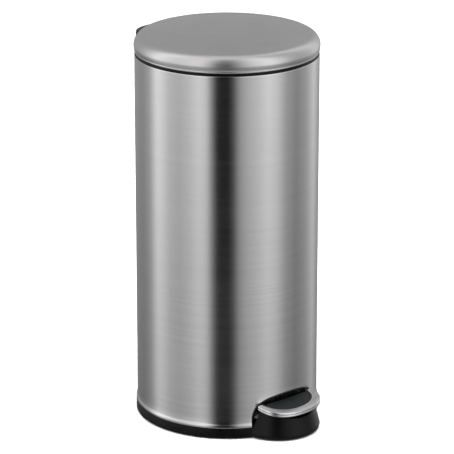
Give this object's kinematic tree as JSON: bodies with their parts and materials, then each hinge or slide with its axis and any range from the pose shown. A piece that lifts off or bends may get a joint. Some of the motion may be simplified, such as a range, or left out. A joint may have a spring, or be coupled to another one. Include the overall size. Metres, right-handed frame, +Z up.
{
  "type": "pedal bin",
  "caption": "Tall round step-on waste bin with a brushed steel body, a domed hinged lid, a black base and a foot pedal that lifts the lid through a push rod.",
  "frame": {"origin": "centre of the outline on the floor, on the bin's own axis, at the underside of the foot pads", "axes": "+Z up; the pedal faces -Y and the lid hinge is at +Y"},
  "size_m": [0.2966, 0.3799, 0.643],
  "materials": {
    "brushed_shell": "fine brushed stainless steel, grain round the body",
    "brushed_lid": "soft satin stainless steel",
    "pedal_steel": "satin stainless steel with a bright rim",
    "black_plastic": "black moulded plastic, low sheen",
    "bucket_plastic": "dark matt moulded plastic",
    "pad_rubber": "dark matt rubber",
    "foot_rubber": "black rubber",
    "zinc_steel": "zinc-plated steel"
  },
  "bodies": {
    "body": {"outer_shell": "brushed_shell", "base_moulding": "black_plastic", "pedal_surround": "black_plastic", "foot_pad_1": "foot_rubber", "foot_pad_2": "foot_rubber", "foot_pad_3": "foot_rubber", "foot_pad_4": "foot_rubber", "top_collar": "black_plastic", "inner_bucket": "bucket_plastic", "hinge_bracket": "zinc_steel", "hinge_pin": "zinc_steel", "pin_clip": "zinc_steel", "bracket_rivet_1": "zinc_steel", "bracket_rivet_2": "zinc_steel", "bracket_rivet_3": "zinc_steel", "bracket_rivet_4": "zinc_steel", "hinge_cover": "black_plastic", "cover_screw_1": "zinc_steel", "cover_screw_2": "zinc_steel", "rod_guide_upper": "black_plastic", "rod_guide_lower": "black_plastic", "pedal_axle": "zinc_steel", "axle_clip_1": "zinc_steel", "axle_clip_2": "zinc_steel"},
    "lid": {"lid_shell": "brushed_lid", "lid_liner": "bucket_plastic", "lid_hinge_arm": "zinc_steel", "lid_buffer_1": "foot_rubber", "lid_buffer_2": "foot_rubber", "lid_buffer_3": "foot_rubber", "lid_screw_1": "zinc_steel", "lid_screw_2": "zinc_steel", "lid_screw_3": "zinc_steel"},
    "pedal": {"pedal_hoop": "pedal_steel", "pedal_pad": "pad_rubber", "pedal_carrier": "black_plastic", "pedal_lever": "zinc_steel", "pedal_screw_1": "zinc_steel", "pedal_screw_2": "zinc_steel"},
    "rod": {"push_rod": "zinc_steel", "rod_clip_top": "zinc_steel", "rod_clip_bottom": "zinc_steel"},
    "bail": {"bucket_bail": "zinc_steel", "bail_grip": "black_plastic"}
  },
  "joints": [
    {"name": "lid_hinge", "type": "hinge", "parent": "body", "child": "lid", "pos_m": [0, 0.158, 0.604], "axis": [-1, 0, 0], "range_deg": [0, 75]},
    {"name": "pedal_hinge", "type": "hinge", "parent": "body", "child": "pedal", "pos_m": [0, -0.09, 0.022], "axis": [1, 0, 0], "range_deg": [0, 5.97]},
    {"name": "rod_slide", "type": "slide", "parent": "body", "child": "rod", "axis": [0, 0, 1], "range_m": [0, 0.02364]},
    {"name": "bail_hinge", "type": "hinge", "parent": "body", "child": "bail", "pos_m": [0, 0, 0.583], "axis": [-1, 0, 0], "range_deg": [0, 15]}
  ],
  "couplings": [
    {"joint": "pedal_hinge", "follows": "lid_hinge", "ratio": 0.07953},
    {"joint": "rod_slide", "follows": "lid_hinge", "m_per_rad": 0.018053}
  ]
}
